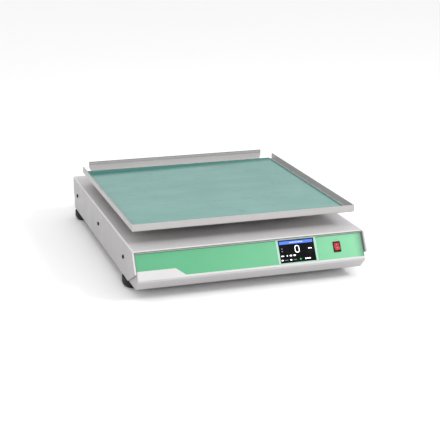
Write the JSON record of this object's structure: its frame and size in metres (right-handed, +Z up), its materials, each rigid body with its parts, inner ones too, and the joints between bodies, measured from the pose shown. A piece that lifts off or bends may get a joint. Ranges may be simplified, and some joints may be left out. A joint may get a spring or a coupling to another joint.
{
  "type": "rocking platform shaker",
  "caption": "Bench shaker: a wide rimmed platform with a rubber mat rocks from side to side on a shaft above a low steel housing with a sloping control panel.",
  "frame": {"origin": "on the surface the feet stand on, under the middle of the part's bounding box", "axes": "+X to the right when facing the control panel, +Y to the back along the rocking shaft, +Z up"},
  "size_m": [0.4696, 0.601, 0.1432],
  "materials": {
    "painted_shell": "fine textured powder coat, warm light grey",
    "painted_platform": "fine textured powder coat, warm light grey",
    "zinc_steel": "zinc plated",
    "black_screw": "black oxide",
    "foot_rubber": "satin moulded",
    "overlay_film": "satin printed film, green over white",
    "display_trim": "semi gloss",
    "display_glass": "polished",
    "display_board": "solder mask",
    "brass_spacer": "turned",
    "black_plastic": "fine textured",
    "red_plastic": "translucent gloss",
    "supply_case": "galvanised",
    "machined_aluminium": "machined",
    "ground_steel": "ground",
    "bearing_steel": "polished",
    "motor_case": "satin black",
    "belt_rubber": "moulded",
    "mat_rubber": "gloss"
  },
  "bodies": {
    "housing": {"base_tray": "painted_shell", "cover": "painted_shell", "cover_screws": "black_screw", "cover_nuts": "zinc_steel", "feet": "foot_rubber", "foot_screws": "zinc_steel", "foot_nuts": "zinc_steel", "front_overlay": "overlay_film", "display_frame": "display_trim", "display_glass": "display_glass", "display_module": "display_board", "display_spacers": "brass_spacer", "display_screws": "zinc_steel", "power_switch_body": "black_plastic", "power_inlet": "black_plastic", "inlet_screws": "zinc_steel", "power_supply": "supply_case", "control_board": "display_board", "board_spacers": "brass_spacer", "board_screws": "zinc_steel", "pedestal_front": "machined_aluminium", "pedestal_rear": "machined_aluminium", "rocker_bearings": "bearing_steel", "pedestal_bolts": "zinc_steel", "eccentric_housing": "machined_aluminium", "eccentric_bearings": "bearing_steel", "drive_bracket": "zinc_steel", "bracket_screws": "zinc_steel", "housing_screws": "zinc_steel", "gear_motor": "motor_case", "motor_screws": "zinc_steel", "drive_belt": "belt_rubber"},
    "rocker": {"platform_tray": "painted_platform", "platform_mat": "mat_rubber", "platform_carrier": "zinc_steel", "platform_screws": "zinc_steel", "platform_nuts": "zinc_steel", "rocker_shaft": "ground_steel", "shaft_collars": "ground_steel", "shaft_clamps": "machined_aluminium", "clamp_screws": "zinc_steel", "yoke_arm": "machined_aluminium", "yoke_screws": "zinc_steel"},
    "eccentric": {"eccentric_shaft": "ground_steel", "crank_pin": "ground_steel", "follower_bearing": "bearing_steel", "driven_pulley": "machined_aluminium"},
    "motor_rotor": {"motor_shaft": "ground_steel", "motor_pulley": "machined_aluminium"},
    "switch": {"switch_rocker": "red_plastic"}
  },
  "joints": [
    {"name": "platform_rock", "type": "hinge", "parent": "housing", "child": "rocker", "pos_m": [0, -0.0095, 0.104], "axis": [0, 1, 0], "range_deg": [-6, 6]},
    {"name": "eccentric_turn", "type": "hinge", "parent": "housing", "child": "eccentric", "pos_m": [0, -0.0095, 0.052], "axis": [0, 1, 0], "range_deg": [-72, 72]},
    {"name": "motor_turn", "type": "hinge", "parent": "housing", "child": "motor_rotor", "pos_m": [0.092, -0.0095, 0.052], "axis": [0, 1, 0], "range_deg": [-144, 144]},
    {"name": "switch_rock", "type": "hinge", "parent": "housing", "child": "switch", "pos_m": [0.1732, -0.28427, 0.06591], "axis": [1, 0, 0], "range_deg": [0, 20]}
  ],
  "couplings": [
    {"joint": "eccentric_turn", "follows": "platform_rock", "ratio": 12},
    {"joint": "motor_turn", "follows": "platform_rock", "ratio": 24}
  ]
}
